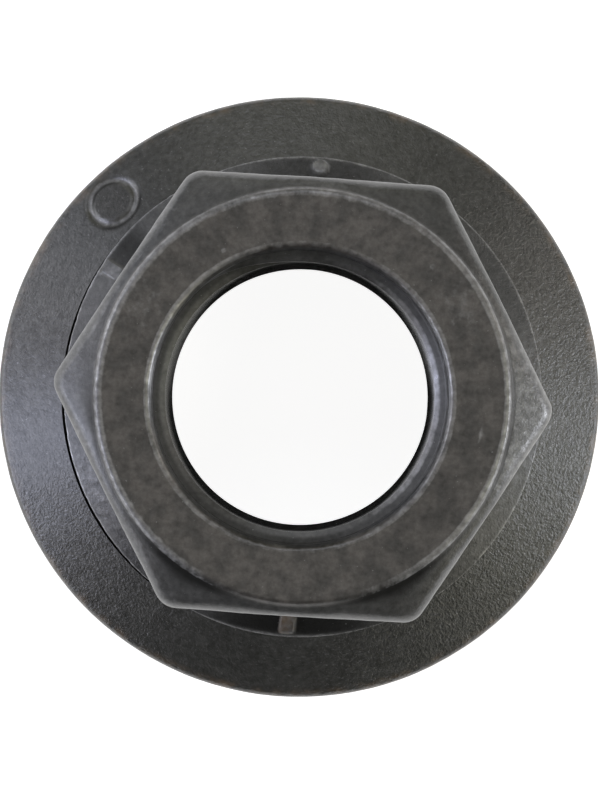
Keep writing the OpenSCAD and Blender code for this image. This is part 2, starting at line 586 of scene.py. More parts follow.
@dataclass
class Sizes:
    """Sizes that both pieces share, as in the solids, in millimetres and radians.

    Attributes:
        overall_h: Height of the nut's top face.
        lip_lift: Height of the collar's lip.
        flange_r: Radius of the flange.
        washer_r: Radius of the washer.
        minor_r: Minor radius of the thread.
        thread_r: Nominal radius of the thread.
        thread_pitch: Distance from one turn of the thread to the next.
        countersink_margin: How far the countersink at the top reaches past the thread.
        countersink_slope: Slope of the countersink's wall.
        across_flats: Distance across the hexagon's flats.
        top_inset: How far the round top face stays inside the flats.
        top_step: Height of the step round the top face.
        slope: Slope of the flange, of the washer's top and of the hexagon's trimmed corners.
        seat_slope: Slope of the cone that the flange bears on.
        flange_edge: Thickness of the flange at its rim.
        collar_relief: Room between the thread's nominal radius and the collar's bore.
        collar_wall: Wall of the collar.
        collar_bore_h: Straight stretch of the collar's bore.
        washer_bore_h: Length of the washer's straight bore.
        washer_countersink: Depth of the countersink under the washer.
        recess_proud: How far the recess's edge stands above the rim of the flange.
        rim_gap: Room between the flange's rim and the recess.
        bore_gap: Room between the collar and the washer's bore.
        seat_gap: Room between the flange and its seat, along the axis.
        lip_gap: Room between the flared lip and the washer's countersink, along the axis.
        mark_h: Height of the raised marks.
    """

    overall_h: float
    lip_lift: float
    flange_r: float
    washer_r: float
    minor_r: float
    thread_r: float = 11.0
    thread_pitch: float = 1.5
    countersink_margin: float = 0.5
    countersink_slope: float = math.radians(45)
    across_flats: float = 32.8
    top_inset: float = 0.85
    top_step: float = 0.5
    slope: float = math.radians(30)
    seat_slope: float = math.radians(15)
    flange_edge: float = 1.4
    collar_relief: float = 0.3
    collar_wall: float = 1.7
    collar_bore_h: float = 0.9
    washer_bore_h: float = 1.3
    washer_countersink: float = 2.3
    recess_proud: float = 0.0
    rim_gap: float = 0.2
    bore_gap: float = 0.3
    seat_gap: float = 0.15
    lip_gap: float = 0.35
    mark_h: float = 0.25

    @classmethod
    def from_frame(cls, frame: dict) -> Sizes:
        """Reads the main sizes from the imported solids.


        Returns:
            The sizes, with the rest at the solids' own values.
        """
        nut_low, nut_high = (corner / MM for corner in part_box("nut"))
        washer_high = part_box("washer")[1] / MM
        thread = next(m for m in frame["record"]["mounts"] if m["name"] == "thread")
        return cls(nut_high.z, nut_low.z, nut_high.x, washer_high.x, thread["dims"]["r_mm"])

    @property
    def flat_r(self) -> float:
        """Radius to the middle of a flat."""
        return self.across_flats / 2

    @property
    def top_r(self) -> float:
        """Radius of the round top face."""
        return self.flat_r - self.top_inset

    @property
    def countersink_r(self) -> float:
        """Radius of the countersink at the top face."""
        return self.thread_r + self.countersink_margin

    @property
    def collar_bore_r(self) -> float:
        """Radius of the collar's straight bore."""
        return self.thread_r + self.collar_relief

    @property
    def neck_r(self) -> float:
        """Outer radius of the collar."""
        return self.collar_bore_r + self.collar_wall

    @property
    def washer_bore_r(self) -> float:
        """Radius of the washer's bore."""
        return self.neck_r + self.bore_gap

    @property
    def recess_r(self) -> float:
        """Radius of the washer's recess."""
        return self.flange_r + self.rim_gap

    @property
    def flare_z(self) -> float:
        """Height at which the collar starts to flare."""
        return self.washer_countersink + self.bore_gap - self.lip_gap

    @property
    def lip_r(self) -> float:
        """Outer radius of the flared lip."""
        return self.neck_r + self.flare_z - self.lip_lift

    @property
    def lead_in_z(self) -> float:
        """Height at which the thread's lead-in starts."""
        return self.flare_z + self.collar_bore_h

    @property
    def flange_z(self) -> float:
        """Height of the flange's upper edge."""
        return self.under_flange_z(self.flange_r) + self.flange_edge

    @property
    def recess_z(self) -> float:
        """Height of the recess's edge."""
        return self.flange_z + self.recess_proud

    def seat_z(self, r: Value) -> Value:
        """Height of the washer's seat at a radius."""
        rise = (r - self.washer_bore_r) * math.tan(self.seat_slope)
        return self.washer_countersink + self.washer_bore_h + rise

    def under_flange_z(self, r: Value) -> Value:
        """Height of the flange's lower face at a radius."""
        return self.seat_z(r) + self.seat_gap

    def flange_top_z(self, r: Value) -> Value:
        """Height of the flange's upper face at a radius."""
        return self.flange_z + (self.flange_r - r) * math.tan(self.slope)

    def washer_top_z(self, r: Value) -> Value:
        """Height of the washer's sloping top at a radius."""
        return self.recess_z - (r - self.recess_r) * math.tan(self.slope)


@dataclass(frozen=True)
class Spot:
    """A scuff or a stain on the nut's top face.

    Attributes:
        kind: Kind of wear.
        angle: Its direction, in degrees from +X.
        r: Its distance from the axis, in millimetres.
        strength: Its strength in the middle.
        along: Its half-width along the radius, in millimetres.
        across: Its half-width round the axis, in millimetres.
    """

    kind: Wear
    angle: float
    r: float
    strength: float
    along: float
    across: float

    def share(self, r: np.ndarray, angles: np.ndarray) -> np.ndarray:
        """Strength of the spot at places round the axis.

        Args:
            r: Distance of each place from the axis.
            angles: Angle of each column.

        Returns:
            From 0 to its full strength, rows by columns.
        """
        across = self.r * angle_apart(angles, math.radians(self.angle)) / self.across
        return self.strength * np.exp(-(((r - self.r) / self.along) ** 2) - across**2)


@dataclass(frozen=True)
class ThreadShadeAndDirt:
    """Painted shade and painted highlights in the thread, with dirt in its grooves and rub on its crests, as
    seen from above with +Y at the top.

    Attributes:
        crest_from: Height over the minor radius at which a crest's rub sets in, in millimetres.
        crest_full: Height over the minor radius at which it is full.
        crest_rub_and_sheen: Rub of the crests, with painted highlight on the lit sides.
        crest_even: Rub of the crests between left and right, as a share of that on the right.
        grooves: Share of dark tint in the grooves, dirt and painted shade.
        less_where_lit: How much less of it there is on the lit left and right.
        left: How much more of it there is on the left.
        first_from: Height over the first groove at which its dark tint sets in, in millimetres.
        first_full: Height over the first groove at which it is full.
        start_z: Height from which painted shade spreads downwards over everything in the bore, in
            millimetres.
        higher: Where it starts higher, and by how many millimetres.
        span: Depth over which it covers everything, in millimetres.
        shorter: Share of that depth which is left at the top and the bottom.
        aside: Where the depth isn't shorter.
        longer: How much longer the depth is beside the top.
        beside: What counts as beside.
        upper_half: What counts as the top's half.
    """

    crest_from: float = 0.58
    crest_full: float = 0.26
    crest_rub_and_sheen: float = 0.8
    crest_even: float = 0.7
    grooves: float = 0.42
    less_where_lit: float = 0.5
    left: Facing = Facing(180, 0.3, 0.8, 0.55)
    first_from: float = 0.3
    first_full: float = 0.05
    start_z: float = 25.4
    higher: Facing = Facing(90, 0.6, 1.0, 1.2)
    span: float = 15.4
    shorter: float = 0.4
    aside: Aside = Aside(0.6, 1.0)
    longer: float = 1.2
    beside: Aside = Aside(0.3, 0.7)
    upper_half: Facing = Facing(96.84, -0.0993, 0.3475)

    def deep_shade(self, angles: np.ndarray, z: np.ndarray) -> np.ndarray:
        """Share of the painted shade that covers everything further down the bore.

        Args:
            angles: Angle of each place.
            z: Height of each place.

        Returns:
            From 0 at the top to 1 further down.
        """
        beside = self.beside.share(angles) * self.upper_half.share(angles)
        span = self.span * at_least(self.shorter, self.aside.share(angles)) * (1 + self.longer * beside)
        return smooth_step(0, 1, (self.start_z - z + self.higher.share(angles)) / span)


@dataclass
class WheelNut:
    """The forged nut: hexagon, flange, collar and right-hand thread, as one closed mesh.

    Sizes are in millimetres and angles in radians from +X, unless a field's own class says otherwise.

    Attributes:
        sizes: Sizes shared with the washer.
        columns: Columns round the outside; the thread has half as many.
        crowd_width: Half-width of the places where columns stand closer together.
        corner_crowd: How many more columns the hexagon's corners get.
        mark_crowd: How many more columns the raised marks get.
        crease: Edges that turn by more than this many degrees stay sharp.
        corner_round: Radius of the hexagon's upright edges.
        flat_over: How far the hexagon's flats stand outside the solid's.
        step_lean: How far the step round the top face leans out.
        off_angle: Direction in which parts of the forging stand off the axis.
        bore_off: How far the bore stands off the axis.
        hexagon_off: How far the hexagon stands off the axis.
        skin: Layers of the surface's unevenness, each with its size and its weight.
        rim_over: How far the rim hangs over the washer's lip where it isn't short.
        rim_wall_in: How far the wall under the rim stands in.
        rim_under: Height of that overhang's underside over the solid's rim.
        rim_open: Side on which the rim falls short, and by how much.
        rim_full: How much less short it is under a corner.
        rim_full_width: Half-width of the stretch under a corner.
        rim_ragged: Depth of the notches in the rim.
        notches: Layers of those notches, each with its size and its weight.
        notched: Where the rim has notches.
        rim_lift: How far the rim stands above the solid's, where it isn't flush.
        flush: Where the rim is more flush with the washer, and by what share of that lift.
        rim_dip: How far the rim dips in beside the hexagon's corners.
        rim_dip_width: Half-width of those dips.
        dot_angle: Direction of the raised dot on the flange.
        dot_r: Radius of the dot.
        dot_inset: Distance from the dot's middle to the flange's rim.
        dot_rub: Rub of the dot.
        bar_angles: Directions of the raised bars on the flange, the rusty one last.
        bar_w: Width of a bar.
        bar_inset: Distance from a bar's end to the flange's rim.
        bar_rub: Rub of the bars.
        mark_soft: Half-width of the marks' soft edges.
        mark_room: Half-angle of the sector that a mark stands in.
        crown_h: Height of the nut's upper part, which has its own wear.
        top_wear: How far the grain is worn down on the top face.
        land_wear: How far the grain is worn down on the hexagon's top corners.
        land_kept: Where it is worn less there, and by what share.
        worn: Side of the flange on which the grain is worn down.
        worn_right: The other side on which it is.
        lit_sides: What counts as left and right, where the lamps stand: edges there get painted highlights
            on their rub, and corners less painted shade.
        edge_rub: Full rub of the nut's edges.
        narrow: Where the top edges' rub and painted highlight are narrower, and how much faster they fade
            there.
        bore_band: Width of the band on the top face that belongs to the countersink's edge.
        bore_rub: Least share of rub on that edge; the lit sides add painted highlight up to the full rub.
        chips: Side on which that edge gets more rub and painted highlight.
        top_rub: Least share of rub on the other top edges; the lit sides add painted highlight up to the
            full rub.
        bright: Where those edges get painted highlight besides the left and the right, from the light above
            the top.
        lit_corner_sheen: Where the land of a hexagon's corner gets a painted highlight, on the lit right.
        groove_shade: Share of painted shade in the groove round the top face, at the flats.
        corner_shade: What the hexagon's corners add to it.
        corner_width: How far a corner stands outside the flats where it adds that fully.
        shaded_side: Where the groove's painted shade is deepest.
        lit_share: Share of that shade that is left on the other side.
        foot_lit: How much less painted shade the hexagon's foot has on the lit left and right.
        foot_room: How far the flange's darkened stretches reach into the hexagon's foot.
        foot_h: Height of the foot's fillet that those stretches and the flange's painted sheen cover.
        shade_and_dirt: Sides of the flange that are darkened: painted shade at 271 degrees, under the
            hexagon, and at 143 degrees beside a bar; plain darker patches at 33 and 89 degrees.
        lit_flange_sheen: Side of the flange facing the lamps at the left, made brighter as a painted sheen.
        spots: Scuffs and stains on the top face.
        thread_start: Direction in which the thread's first ridge starts.
        run_in: Angle over which that ridge rises to its full height.
        first_groove_z: Height of the first groove where the thread starts.
        root_room: How far the thread's roots reach past the nominal radius.
        thread_samples: Places of the thread's rows within one turn, as shares of the pitch.
        fine_samples: Rows in one turn of the finer stretch at the top.
        fine_depth: Depth of that stretch.
        thread_shade_and_dirt: Painted shade, dirt, rub and painted highlights in the thread.
        top_rim: Height at the top that the thread's rows leave to the outside's rows.
        ring_step: Height of the ring of faces that joins the two.
    """

    sizes: Sizes
    columns: int = 464
    crowd_width: float = math.radians(3.5)
    corner_crowd: float = 2.0
    mark_crowd: float = 1.2
    crease: float = 38.0
    corner_round: float = 1.7
    flat_over: float = 0.17
    step_lean: float = 0.2
    off_angle: float = math.radians(10)
    bore_off: float = -0.13
    hexagon_off: float = 0.09
    skin: Layers = ((2.4, 0.7), (0.9, 0.6))
    rim_over: float = 0.012
    rim_wall_in: float = 0.06
    rim_under: float = 0.015
    rim_open: Side = Side(195, 41, 0.2)
    rim_full: float = 0.5
    rim_full_width: float = math.radians(3)
    rim_ragged: float = 0.07
    notches: Layers = ((0.9, 1.0), (0.4, 0.6))
    notched: Facing = Facing(180, 0.2, 0.6)
    rim_lift: float = 0.13
    flush: Facing = Facing(-25, 0.3, 0.8, 0.7)
    rim_dip: float = 0.02
    rim_dip_width: float = math.radians(6)
    dot_angle: float = math.radians(89.1)
    dot_r: float = 0.72
    dot_inset: float = 0.85
    dot_rub: float = 0.64
    bar_angles: tuple[float, float] = (math.radians(150), math.radians(270))
    bar_w: float = 1.2
    bar_inset: float = 0.3
    bar_rub: float = 0.5
    mark_soft: float = 0.12
    mark_room: float = 0.2
    crown_h: float = 4.0
    top_wear: float = 0.88
    land_wear: float = 0.78
    land_kept: Facing = Facing(0, 0.3, 0.8, 0.42)
    worn: Side = Side(184, 62, 0.75)
    worn_right: Facing = Facing(-25, 0.6, 0.9, 0.5)
    lit_sides: Aside = Aside(0.15, 0.75)
    edge_rub: float = 0.7
    narrow: Facing = Facing(0, 0.3, 0.8, 1.5)
    bore_band: float = 1.0
    bore_rub: float = 0.7
    chips: Side = Side(139, 35, 0.22, power=2)
    top_rub: float = 0.45
    bright: Facing = Facing(90, -0.1, 0.5, 0.7)
    lit_corner_sheen: Facing = Facing(0, 0.75, 0.98, 0.56)
    groove_shade: float = 0.2
    corner_shade: float = 0.7
    corner_width: float = 1.6
    shaded_side: Facing = Facing(269, -0.2, 0.7)
    lit_share: float = 0.2
    foot_lit: float = 0.85
    foot_room: float = 0.1
    foot_h: float = 0.6
    # Painted shade at 271 and 143 degrees, darker patches at 33 and 89 degrees
    shade_and_dirt: tuple[Side, ...] = (
        Side(143, 6, 0.6),
        Side(33, 16, 0.32),
        Side(89, 17, 0.44),
        Side(271, 24, 0.9),
    )
    lit_flange_sheen: Side = Side(211, 20, 0.5)
    spots: tuple[Spot, ...] = (
        Spot(Wear.RUB, -7.8, 13.75, 0.75, along=0.24, across=0.9),
        Spot(Wear.RUB, 29.8, 12.7, 0.8, along=0.26, across=0.26),
        Spot(Wear.RUB, 48.6, 13.8, 0.8, along=0.26, across=0.26),
        Spot(Wear.RUB, 121.5, 12.4, 0.85, along=0.3, across=0.3),
        Spot(Wear.RUB, 33.0, 13.7, 0.46, along=2.4, across=4.2),
        Spot(Wear.RUB, 154.0, 13.7, 0.46, along=2.4, across=4.2),
        Spot(Wear.GRIME, -26.2, 12.3, 0.35, along=0.7, across=0.9),
        Spot(Wear.GRIME, -41.0, 13.1, 0.4, along=0.6, across=0.6),
        Spot(Wear.GRIME, -47.0, 12.6, 0.3, along=0.5, across=1.3),
        Spot(Wear.GRIME, -40.0, 13.3, 0.14, along=2.0, across=6.0),
    )
    thread_start: float = math.radians(138.7)
    run_in: float = math.radians(45)
    first_groove_z: float = 26.4
    root_room: float = 0.08
    thread_samples: tuple[float, ...] = (-0.125, 0.125, 0.28, 0.4375, 0.5625, 0.72)
    fine_samples: int = 24
    fine_depth: float = 3.0
    thread_shade_and_dirt: ThreadShadeAndDirt = ThreadShadeAndDirt()
    top_rim: float = 0.36
    ring_step: float = 0.05

    def __post_init__(self) -> None:
        """Places the columns, closer together at the hexagon's corners and the marks."""
        corners = [Crowd(i * SECTOR, self.crowd_width, self.corner_crowd) for i in range(HEXAGON_SIDES)]
        mark_angles = (self.dot_angle, *self.bar_angles)
        marks = [Crowd(angle, self.crowd_width, self.mark_crowd) for angle in mark_angles]
        self.angles = crowded_columns(self.columns, corners + marks)

    def hexagon_r(self) -> np.ndarray:
        """Radius of the rounded hexagon at each column.

        Returns:
            Radii in millimetres.
        """
        from_flat = np.abs((self.angles % SECTOR) - SECTOR / 2)
        from_corner = SECTOR / 2 - from_flat
        flat_r = self.sizes.flat_r + self.flat_over
        inner_r = flat_r - self.corner_round
        centre_r = inner_r / math.cos(SECTOR / 2)
        on_flat = flat_r * np.tan(from_flat) <= inner_r * math.tan(SECTOR / 2)
        under_root = self.corner_round**2 - (centre_r * np.sin(from_corner)) ** 2
        round_r = centre_r * np.cos(from_corner) + np.sqrt(np.maximum(under_root, 0))
        return np.where(on_flat, flat_r / np.cos(from_flat), round_r)

    def rim_r(self) -> np.ndarray:
        """Radius of the flange's rim at each column: dips, the short side and ragged notches.

        Returns:
            Radii in millimetres.
        """
        flange_r = self.sizes.flange_r
        from_corner = np.abs((self.angles + SECTOR / 2) % SECTOR - SECTOR / 2)
        dip = self.rim_dip * np.exp(-((from_corner / self.rim_dip_width) ** 2))
        under_corner = np.exp(-((from_corner / self.rim_full_width) ** 2))
        short = self.rim_open.share(self.angles) * (1 - self.rim_full * under_corner)
        x, y = np.cos(self.angles), np.sin(self.angles)
        edge = flange_r * np.stack([x, y, np.zeros_like(x)], axis=1)
        notches = np.abs(layered_lumps(edge, self.notches)) * self.notched.share(self.angles)
        return flange_r + self.rim_over - short - dip - self.rim_ragged * notches

    def outside(self) -> Section:
        """Section from the countersink over the outside to the collar's bore.

        Returns:
            The open section.
        """
        s = self.sizes
        hexagon = self.hexagon_r()
        rim = self.rim_r()
        rim_z = s.flange_z + self.rim_lift * (1 - self.flush.share(self.angles))
        under_z = s.flange_z + self.rim_under
        wall_r = rim - self.rim_wall_in
        step_r = s.top_r + self.step_lean
        step_z = s.overall_h - s.top_step
        trim_z = step_z - (hexagon - step_r) * math.tan(s.slope)
        lip_bore_r = s.lip_r - s.collar_wall
        start = self.top_rim - self.ring_step
        start_r = s.countersink_r - start / math.tan(s.countersink_slope)
        corners = [
            Corner(start_r, s.overall_h - start, run=3, drift=self.bore_off),
            Corner(
                s.countersink_r, s.overall_h, fillet=0.45, arc=6, run=22, drift=self.bore_off, lump=0.05,
                wear={Wear.RUB: 0.62, Wear.CROWN: 1.0, Wear.SMOOTH: 0.55}, reach=0.14,
            ),
            Corner(
                s.top_r, s.overall_h, fillet=0.7, share=0.6, arc=6, run=2,
                drift=self.hexagon_off, lump=0.02,
                wear={Wear.RUB: self.edge_rub, Wear.CROWN: 1.0, Wear.SMOOTH: 0.6}, reach=0.26,
            ),
            # Dark tint in the groove round the top face: painted shade
            Corner(
                step_r, step_z, fillet=1.2, share=0.36, arc=6, run=6, drift=self.hexagon_off,
                lump=0.02, wear={Wear.GRIME: 1.0}, reach=0.5,
            ),
            Corner(
                hexagon, trim_z, fillet=1.6, share=0.6, arc=10, run=13,
                drift=self.hexagon_off, lump=0.03, wear={Wear.RUB: 0.43}, reach=0.26,
            ),
            # Dark tint at the hexagon's foot: painted shade
            Corner(
                hexagon, s.flange_top_z(hexagon), fillet=0.9, arc=7, run=14,
                drift=self.hexagon_off, lump=0.05, spacing=Spacing.EVEN,
                wear={Wear.GRIME: 0.5},
            ),
            Corner(
                rim, rim_z, fillet=0.1, arc=5, run=2, lump=0.004, wear={Wear.RUB: self.edge_rub}, reach=0.12,
            ),
            Corner(rim, under_z, run=2),
            Corner(wall_r, under_z, run=3),
            Corner(wall_r, s.under_flange_z(wall_r), fillet=0.3, arc=3, run=3),
            Corner(s.neck_r, s.under_flange_z(s.neck_r), fillet=0.3, arc=3, run=2),
            Corner(s.neck_r, s.flare_z, fillet=0.4, arc=3, run=2),
            Corner(s.lip_r, s.lip_lift, fillet=0.25, arc=3, run=3, wear={Wear.RUB: 0.4}),
            Corner(lip_bore_r, s.lip_lift, fillet=0.15, arc=2, run=3, wear={Wear.RUB: 0.4}),
            Corner(s.collar_bore_r, s.flare_z, fillet=0.5, arc=3, run=2, drift=self.bore_off),
            Corner(s.collar_bore_r, s.lead_in_z - self.ring_step, drift=self.bore_off),
        ]
        return Section(corners, self.columns, closed=False)

    def inside_mark(self, edge: float, values: np.ndarray) -> np.ndarray:
        """Soft share of what lies inside an edge of a mark."""
        return 1 - smooth_step(edge - self.mark_soft, edge + self.mark_soft, values)

    def at_mark(self, angle: float) -> np.ndarray:
        """Whether each column stands in the sector of the mark in a direction."""
        return np.abs(angle_apart(self.angles, angle)) < self.mark_room

    def mark_heights(self, sweep: Sweep) -> np.ndarray:
        """Heights of the raised dot and bars over the flange's upper face.

        Args:
            sweep: The outside's rows.

        Returns:
            Heights in millimetres, rows by columns.
        """
        s = self.sizes
        on_cone = np.abs(sweep.z - s.flange_top_z(sweep.r)) < ON_FACE
        on_cone &= sweep.r > s.flat_r - ON_FACE
        across = sweep.r * angle_apart(self.angles, self.dot_angle)
        along = (sweep.r - (s.flange_r - self.dot_inset)) / math.cos(s.slope)
        heights = self.inside_mark(self.dot_r, np.hypot(across, along))
        bar_end = self.inside_mark(s.flange_r - self.bar_inset, sweep.r)
        for angle in self.bar_angles:
            across = np.abs(sweep.r * angle_apart(self.angles, angle))
            heights += self.inside_mark(self.bar_w / 2, across) * bar_end
        return s.mark_h * heights * on_cone

    def outside_points(self, sweep: Sweep) -> tuple[np.ndarray, np.ndarray]:
        """Places the outside's rows round the axis, uneven as a forging is.

        Args:
            sweep: The outside's rows.

        Returns:
            Points, rows by columns by 3, and the marks' heights.
        """
        points = sweep.placed(self.angles, self.off_angle)
        rough = layered_lumps(points.reshape(-1, 3), self.skin).reshape(sweep.r.shape)
        marks = self.mark_heights(sweep)
        heights = sweep.lump[:, None] * rough + marks
        points = points + grid_normals(points, False) * heights[:, :, None]
        # Nothing stands above the top face
        points[:, :, 2] = np.minimum(points[:, :, 2], self.sizes.overall_h)
        return points, marks

    def outside_wear_and_light(self, sweep: Sweep, marks: np.ndarray) -> dict[Wear, np.ndarray]:
        """Wear of the outside, with its painted shade and painted highlights, and what changes round the
        axis.

        Args:
            sweep: The outside's rows.
            marks: Where the raised marks are, from 0 to 1.

        Returns:
            Each kind of wear, rows by columns.
        """
        s = self.sizes
        wear = sweep.wide_wear()
        upper = sweep.z > s.overall_h - self.crown_h
        top_face = (sweep.z > s.overall_h - AT_TOP) & (sweep.r > s.countersink_r)
        from_flange = np.abs(sweep.z - s.flange_top_z(sweep.r))
        on_flange = (sweep.r > self.hexagon_r() - self.foot_room) & (from_flange < self.foot_h)
        wear[Wear.CROWN] = np.maximum(wear[Wear.CROWN], top_face)
        smooth = np.where(top_face, self.top_wear, self.grain_wear(upper))
        wear[Wear.SMOOTH] = np.maximum(np.maximum(wear[Wear.SMOOTH], smooth), marks)
        wear[Wear.RUST] = np.maximum(wear[Wear.RUST], marks * self.at_mark(self.bar_angles[-1]))
        rub = self.edge_rub_and_sheen(sweep, wear[Wear.RUB], upper)
        mark_rub = np.where(self.at_mark(self.dot_angle), self.dot_rub, self.bar_rub)
        rub = np.maximum(rub, mark_rub * marks)
        # Painted shade in the groove round the top face and at the hexagon's foot, less on the lit sides
        wear[Wear.GRIME] = self.painted_corner_shade(wear[Wear.GRIME], upper)
        # Darkened stretches of the flange: painted shade under the hexagon and beside a bar, darker patches
        # elsewhere
        for side in self.shade_and_dirt:
            patch = side.share(self.angles) * on_flange * (1 - marks) * (1 - rub)
            wear[Wear.GRIME] = np.maximum(wear[Wear.GRIME], patch)
        # Painted sheen on the side of the flange that faces the lamps at the left
        wear[Wear.RUB] = np.maximum(rub, self.lit_flange_sheen.share(self.angles) * on_flange)
        for spot in self.spots:
            share = spot.share(sweep.r, self.angles) * top_face
            wear[spot.kind] = np.maximum(wear[spot.kind], share)
        return wear

    def grain_wear(self, upper: np.ndarray) -> np.ndarray:
        """How far the grain is worn down outside the top face.

        Args:
            upper: Whether each place is in the nut's upper part.

        Returns:
            From 0 to 1, rows by columns.
        """
        land = self.land_wear * (1 - self.land_kept.share(self.angles))
        worn = np.maximum(self.worn.share(self.angles), self.worn_right.share(self.angles))
        return np.where(upper, land, worn)

    def edge_rub_and_sheen(self, sweep: Sweep, edges: np.ndarray, upper: np.ndarray) -> np.ndarray:
        """Rub of the edges and of the hexagon's corners, with painted highlights on the lit sides, as it
        changes round the axis.

        Args:
            sweep: The outside's rows.
            edges: The edges' own rub, rows by columns.
            upper: Whether each place is in the nut's upper part.

        Returns:
            The rub with its painted highlights, rows by columns.
        """
        s = self.sizes
        # Edges are made brighter where the lamps at the left and right light them: painted highlight
        lit_sides = self.lit_sides.share(self.angles)
        at_bore = upper & (sweep.r < s.countersink_r + self.bore_band)
        fade = np.where(upper & ~at_bore, 1 + self.narrow.share(self.angles), 1)
        rub = self.edge_rub * (edges / self.edge_rub) ** fade
        # Painted highlight on the countersink's edge and the top edges: more rub on the lit sides, the upper
        # left and the top
        bore_edge = at_least(self.bore_rub, lit_sides) + self.chips.share(self.angles)
        top_edge = at_least(self.top_rub, np.maximum(lit_sides, self.bright.share(self.angles)))
        rub = rub * np.where(at_bore, bore_edge, np.where(upper, top_edge, 1))
        on_land = upper & (sweep.r > s.top_r + 2 * self.step_lean)
        # Painted highlight on the land of the corner at the lit right
        return np.maximum(rub, self.lit_corner_sheen.share(self.angles) * on_land)

    def painted_corner_shade(self, corners: np.ndarray, upper: np.ndarray) -> np.ndarray:
        """Painted shade in the groove round the top face and at the hexagon's foot, as it changes round the
        axis.

        Args:
            corners: The corners' own painted shade, rows by columns.
            upper: Whether each place is in the nut's upper part.

        Returns:
            The painted shade, rows by columns.
        """
        flat_r = self.sizes.flat_r
        at_corner = smooth_step(flat_r, flat_r + self.corner_width, self.hexagon_r())
        groove = self.groove_shade + self.corner_shade * at_corner
        groove = groove * at_least(self.lit_share, self.shaded_side.share(self.angles))
        foot = 1 - self.foot_lit * self.lit_sides.share(self.angles)
        return corners * np.where(upper, groove, foot)

    @property
    def thread_turn(self) -> float:
        """Place of the thread's crest at angle and height 0, as a share of the pitch."""
        return (self.first_groove_z / self.sizes.thread_pitch - 0.5 - self.thread_start / FULL_TURN) % 1

    def thread_depth(self, angles: np.ndarray, z: np.ndarray) -> tuple[np.ndarray, np.ndarray]:
        """Where places lie along the thread.

        Args:
            angles: Angle of each place.
            z: Height of each place.

        Returns:
            Turns below the first groove, and angle clockwise from the thread's start.
        """
        from_start = (self.thread_start - angles) % FULL_TURN
        below = (self.first_groove_z - z) / self.sizes.thread_pitch
        return below - from_start / FULL_TURN, from_start

    def thread_r(self, angles: np.ndarray, z: np.ndarray) -> np.ndarray:
        """Radius of the bore's wall: the thread, its lead-in or the countersink.

        Args:
            angles: Angle of each place.
            z: Height of each place.

        Returns:
            Radii in millimetres.
        """
        s = self.sizes
        depth, from_start = self.thread_depth(angles, z)
        from_crest = np.abs(depth % 1 - 0.5)
        crest_end, root_start = 1 / 8, 1 / 2 - 1 / 16
        flank = np.clip((from_crest - crest_end) / (root_start - crest_end), 0, 1)
        root_r = s.thread_r + self.root_room
        ridge = (root_r - s.minor_r) * (1 - flank)
        rise = smooth_step(0, self.run_in, from_start)
        ridge *= np.where(depth < 0, 0, np.where(depth < 1, rise, 1))
        lead_in = s.collar_bore_r - (z - s.lead_in_z)
        countersink = s.countersink_r - (s.overall_h - z) / math.tan(s.countersink_slope)
        return np.maximum(np.maximum(root_r - ridge, lead_in), countersink)

    def thread_wear_and_light(self, angles: np.ndarray, r: np.ndarray, z: np.ndarray) -> dict[Wear, np.ndarray]:
        """Wear of the bore's wall, with painted shade down the bore and painted highlights on the lit
        crests.

        Args:
            angles: Angle of each place.
            r: Radius of each place.
            z: Height of each place.

        Returns:
            Each kind of wear, rows by columns.
        """
        shade_and_dirt = self.thread_shade_and_dirt
        minor_r = self.sizes.minor_r
        first_z = self.first_groove_z
        lit_sides = self.lit_sides.share(angles)
        # Painted shade that deepens down the bore
        deep_shade = shade_and_dirt.deep_shade(angles, z)
        crest = smooth_step(minor_r + shade_and_dirt.crest_from, minor_r + shade_and_dirt.crest_full, r)
        # Darker grooves: dirt and painted shade, less on the lit left and right
        groove = shade_and_dirt.grooves * (1 - crest) * (1 - shade_and_dirt.less_where_lit * lit_sides + shade_and_dirt.left.share(angles))
        groove = groove * smooth_step(first_z + shade_and_dirt.first_from, first_z + shade_and_dirt.first_full, z)
        crest_rub_and_sheen = shade_and_dirt.crest_rub_and_sheen * at_least(shade_and_dirt.crest_even, np.cos(angles))
        wear = {kind: np.zeros_like(r) for kind in Wear}
        wear[Wear.GRIME] = np.maximum(groove, deep_shade)
        # Rub on the crests, with painted highlights where the lamps at the left and right light them
        wear[Wear.RUB] = crest_rub_and_sheen * crest * lit_sides * (1 - deep_shade)
        wear[Wear.SMOOTH] = np.ones_like(r)
        return wear

    def add_thread(
        self, shell: Shell, low: float, high: float, samples: np.ndarray
    ) -> np.ndarray:
        """Adds a stretch of the bore, in rows that follow the thread.

        Args:
            shell: The mesh to add to.
            low: Lower end of the stretch.
            high: Upper end of the stretch.
            samples: Places of the rows within one turn, as shares of the pitch.

        Returns:
            Numbers of the vertices, rows by columns.
        """
        pitch = self.sizes.thread_pitch
        angles = self.angles[::2]
        per_turn = len(samples)
        # Turns enough for the rows to reach past both ends all the way round, where they are cut off
        first = math.floor(low / pitch - self.thread_turn) - 2
        last = math.ceil(high / pitch - self.thread_turn) + 1
        turns = np.arange(first, last + 1)
        phases = (turns[:, None] + np.asarray(samples)[None]).ravel()
        z = (phases[:, None] + self.thread_turn + angles[None] / FULL_TURN) * pitch
        z = np.clip(z, low, high)
        wide = np.broadcast_to(angles, z.shape)
        r = self.thread_r(wide, z)
        x = r * np.cos(wide) + self.bore_off * math.cos(self.off_angle)
        y = r * np.sin(wide) + self.bore_off * math.sin(self.off_angle)
        numbers = shell.add(np.stack([x, y, z], axis=2), self.thread_wear_and_light(wide, r, z))
        a, b = numbers[:-1], numbers[1:]
        shell.quads(a[:, :-1], a[:, 1:], b[:, 1:], b[:, :-1])
        # One turn further round, a row has climbed to the row of the next turn
        shell.quads(
            numbers[:-1 - per_turn, -1],
            numbers[per_turn:-1, 0],
            numbers[per_turn + 1:, 0],
            numbers[1:-per_turn, -1],
        )
        return numbers

